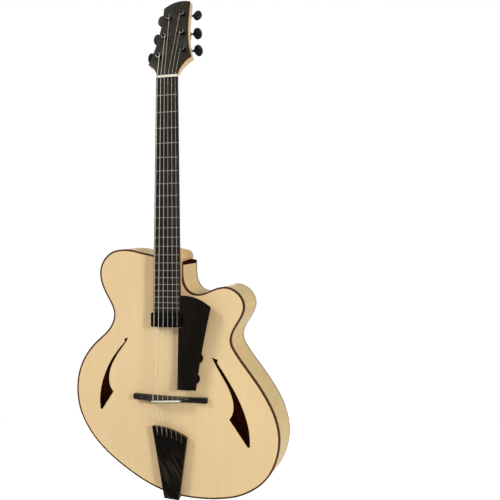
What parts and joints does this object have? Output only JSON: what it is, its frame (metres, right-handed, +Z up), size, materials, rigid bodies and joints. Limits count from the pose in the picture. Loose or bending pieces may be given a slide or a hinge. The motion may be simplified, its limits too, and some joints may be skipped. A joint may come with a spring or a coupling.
{
  "type": "archtop guitar",
  "caption": "Archtop guitar with carved spruce top, asymmetric single-cutaway body, open f-holes, dark bindings, ebony fittings and a floating pickup.",
  "frame": {"origin": "where the nut's line meets the front plane of the body's rim, on the middle of the strings", "axes": "+Z up from the body to the headstock, +Y from the guitar's front to its back, +X to the treble side"},
  "size_m": [0.4365, 0.1457, 1.0155],
  "materials": {
    "spruce": "carved spruce top under a clear lacquer, fine straight grain",
    "maple": "flamed maple under a clear lacquer",
    "dark_wood": "dark brown figured wood, polished",
    "ebony": "near-black ebony, satin",
    "inner_wood": "plain unfinished wood inside the body",
    "bone": "polished bone",
    "nickel": "nickel plating",
    "string_steel": "plain and wound string wire",
    "gold": "brass rings",
    "black_metal": "black tuner housings and keys",
    "black_plastic": "black pickup cover",
    "cable": "thin black lead"
  },
  "bodies": {
    "instrument": {"top_plate": "spruce", "back_plate": "maple", "side_bass": "maple", "side_treble": "maple", "neck_corner_strip": "dark_wood", "top_binding": "dark_wood", "back_binding": "dark_wood", "top_lining": "inner_wood", "back_lining": "inner_wood", "neck_block": "inner_wood", "tail_block": "inner_wood", "tone_bars": "inner_wood", "neck": "maple", "heel_cap": "ebony", "truss_rod": "string_steel", "fingerboard": "ebony", "frets": "nickel", "nut": "bone", "headplate": "ebony", "tuner_housings": "black_metal", "tuner_rings": "gold", "tuner_bushings": "black_metal", "bridge": "ebony", "bone_saddle": "bone", "tailpiece": "dark_wood", "string_balls": "gold", "tail_wire": "nickel", "end_jack": "nickel", "tail_rest": "ebony", "pickup": "black_plastic", "pole_screws": "black_metal", "pickup_bracket": "black_metal", "pickguard": "ebony", "guard_blocks": "ebony", "control_plate": "black_metal", "pots": "black_metal", "wound_strings": "string_steel", "plain_strings": "string_steel", "pickup_lead": "cable"},
    "key_1": {"tuner_button_1": "black_metal", "tuner_worm_1": "black_metal"},
    "post_1": {"tuner_post_1": "black_metal"},
    "key_2": {"tuner_button_2": "black_metal", "tuner_worm_2": "black_metal"},
    "post_2": {"tuner_post_2": "black_metal"},
    "key_3": {"tuner_button_3": "black_metal", "tuner_worm_3": "black_metal"},
    "post_3": {"tuner_post_3": "black_metal"},
    "key_4": {"tuner_button_4": "black_metal", "tuner_worm_4": "black_metal"},
    "post_4": {"tuner_post_4": "black_metal"},
    "key_5": {"tuner_button_5": "black_metal", "tuner_worm_5": "black_metal"},
    "post_5": {"tuner_post_5": "black_metal"},
    "key_6": {"tuner_button_6": "black_metal", "tuner_worm_6": "black_metal"},
    "post_6": {"tuner_post_6": "black_metal"},
    "volume_knob": {"volume_wheel": "black_plastic"},
    "tone_knob": {"tone_wheel": "black_plastic"}
  },
  "joints": [
    {"name": "key_1_turn", "type": "hinge", "parent": "instrument", "child": "key_1", "pos_m": [-0.022, 0.03775, 0.04663], "axis": [-1, 0, 0], "continuous": true},
    {"name": "post_1_turn", "type": "hinge", "parent": "instrument", "child": "post_1", "pos_m": [-0.022, 0.01548, 0.04565], "axis": [0, 0.9483, -0.3173], "continuous": true},
    {"name": "key_2_turn", "type": "hinge", "parent": "instrument", "child": "key_2", "pos_m": [-0.0145, 0.05139, 0.08741], "axis": [-1, 0, 0], "continuous": true},
    {"name": "post_2_turn", "type": "hinge", "parent": "instrument", "child": "post_2", "pos_m": [-0.0145, 0.02913, 0.08642], "axis": [0, 0.9483, -0.3173], "continuous": true},
    {"name": "key_3_turn", "type": "hinge", "parent": "instrument", "child": "key_3", "pos_m": [-0.0096, 0.06504, 0.12819], "axis": [-1, 0, 0], "continuous": true},
    {"name": "post_3_turn", "type": "hinge", "parent": "instrument", "child": "post_3", "pos_m": [-0.0096, 0.04277, 0.1272], "axis": [0, 0.9483, -0.3173], "continuous": true},
    {"name": "key_4_turn", "type": "hinge", "parent": "instrument", "child": "key_4", "pos_m": [0.0198, 0.06694, 0.13388], "axis": [1, 0, 0], "continuous": true},
    {"name": "post_4_turn", "type": "hinge", "parent": "instrument", "child": "post_4", "pos_m": [0.0198, 0.04468, 0.13289], "axis": [0, 0.9483, -0.3173], "continuous": true},
    {"name": "key_5_turn", "type": "hinge", "parent": "instrument", "child": "key_5", "pos_m": [0.0242, 0.05345, 0.09358], "axis": [1, 0, 0], "continuous": true},
    {"name": "post_5_turn", "type": "hinge", "parent": "instrument", "child": "post_5", "pos_m": [0.0242, 0.03119, 0.09259], "axis": [0, 0.9483, -0.3173], "continuous": true},
    {"name": "key_6_turn", "type": "hinge", "parent": "instrument", "child": "key_6", "pos_m": [0.0296, 0.04108, 0.05659], "axis": [1, 0, 0], "continuous": true},
    {"name": "post_6_turn", "type": "hinge", "parent": "instrument", "child": "post_6", "pos_m": [0.0296, 0.01882, 0.0556], "axis": [0, 0.9483, -0.3173], "continuous": true},
    {"name": "volume_turn", "type": "hinge", "parent": "instrument", "child": "volume_knob", "pos_m": [0.063, -0.02529, -0.55342], "axis": [0, 0.9981, -0.061], "range_deg": [-140, 140]},
    {"name": "tone_turn", "type": "hinge", "parent": "instrument", "child": "tone_knob", "pos_m": [0.0565, -0.02774, -0.59342], "axis": [0, 0.9981, -0.061], "range_deg": [-140, 140]}
  ],
  "couplings": [
    {"joint": "post_1_turn", "follows": "key_1_turn", "ratio": 0.0625},
    {"joint": "post_2_turn", "follows": "key_2_turn", "ratio": 0.0625},
    {"joint": "post_3_turn", "follows": "key_3_turn", "ratio": 0.0625},
    {"joint": "post_4_turn", "follows": "key_4_turn", "ratio": 0.0625},
    {"joint": "post_5_turn", "follows": "key_5_turn", "ratio": 0.0625},
    {"joint": "post_6_turn", "follows": "key_6_turn", "ratio": 0.0625}
  ]
}
